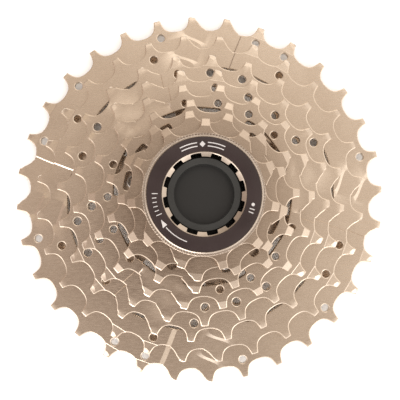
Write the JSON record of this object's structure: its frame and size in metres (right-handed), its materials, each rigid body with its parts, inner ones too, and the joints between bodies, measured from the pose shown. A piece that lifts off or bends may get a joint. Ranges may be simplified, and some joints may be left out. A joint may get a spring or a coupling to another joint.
{
  "type": "cassette sprocket",
  "caption": "Bicycle cassette: stamped nickel-plated sprockets and spacers stacked on a splined moulded core, held by a threaded lock ring.",
  "frame": {"origin": "middle of the core's rear face, on the axle line, at the lowest point", "axes": "+Z along the axle from the largest sprocket to the lock ring"},
  "size_m": [0.1312, 0.1312, 0.0403],
  "materials": {
    "nickel": "satin nickel plate, champagne tint",
    "ring_nickel": "turned, nickel plated; front face printed black",
    "spacer_grey": "satin",
    "rivet_steel": "satin",
    "core_plastic": "moulded, slightly satin"
  },
  "bodies": {
    "core": {"shipping_core": "core_plastic"},
    "cluster": {"sprocket_32t": "nickel", "spacer_28_32": "spacer_grey", "sprocket_28t": "nickel", "spacer_24_28": "spacer_grey", "sprocket_24t": "nickel", "spacer_21_24": "spacer_grey", "sprocket_21t": "nickel", "spacer_18_21": "spacer_grey", "sprocket_18t": "nickel", "cluster_rivets": "rivet_steel"},
    "spacer_low": {"spacer_15_18": "spacer_grey"},
    "sprocket_15": {"sprocket_15t": "nickel"},
    "spacer_high": {"spacer_13_15": "spacer_grey"},
    "sprocket_13": {"sprocket_13t": "nickel"},
    "sprocket_11": {"sprocket_11t": "nickel"},
    "washer": {"lockring_washer": "nickel"},
    "ring": {"lockring": "ring_nickel"}
  },
  "joints": [
    {"name": "cluster_slide", "type": "slide", "parent": "core", "child": "cluster", "axis": [0, 0, 1], "range_m": [0, 0.036]},
    {"name": "spacer_15_18_slide", "type": "slide", "parent": "cluster", "child": "spacer_low", "axis": [0, 0, 1], "range_m": [0, 0.0145]},
    {"name": "sprocket_15t_slide", "type": "slide", "parent": "spacer_low", "child": "sprocket_15", "axis": [0, 0, 1], "range_m": [0, 0.0115]},
    {"name": "spacer_13_15_slide", "type": "slide", "parent": "sprocket_15", "child": "spacer_high", "axis": [0, 0, 1], "range_m": [0, 0.0095]},
    {"name": "sprocket_13t_slide", "type": "slide", "parent": "spacer_high", "child": "sprocket_13", "axis": [0, 0, 1], "range_m": [0, 0.0065]},
    {"name": "sprocket_11t_slide", "type": "slide", "parent": "sprocket_13", "child": "sprocket_11", "axis": [0, 0, 1], "range_m": [0, 0.0047]},
    {"name": "lockring_lift", "type": "slide", "parent": "sprocket_11", "child": "washer", "axis": [0, 0, 1], "range_m": [0, 0.0053]},
    {"name": "lockring_turn", "type": "hinge", "parent": "washer", "child": "ring", "pos_m": [0, 0, 0.0395], "axis": [0, 0, 1], "range_deg": [0, 1800]}
  ],
  "couplings": [
    {"joint": "lockring_lift", "follows": "lockring_turn", "m_per_rad": 0.00016844}
  ]
}
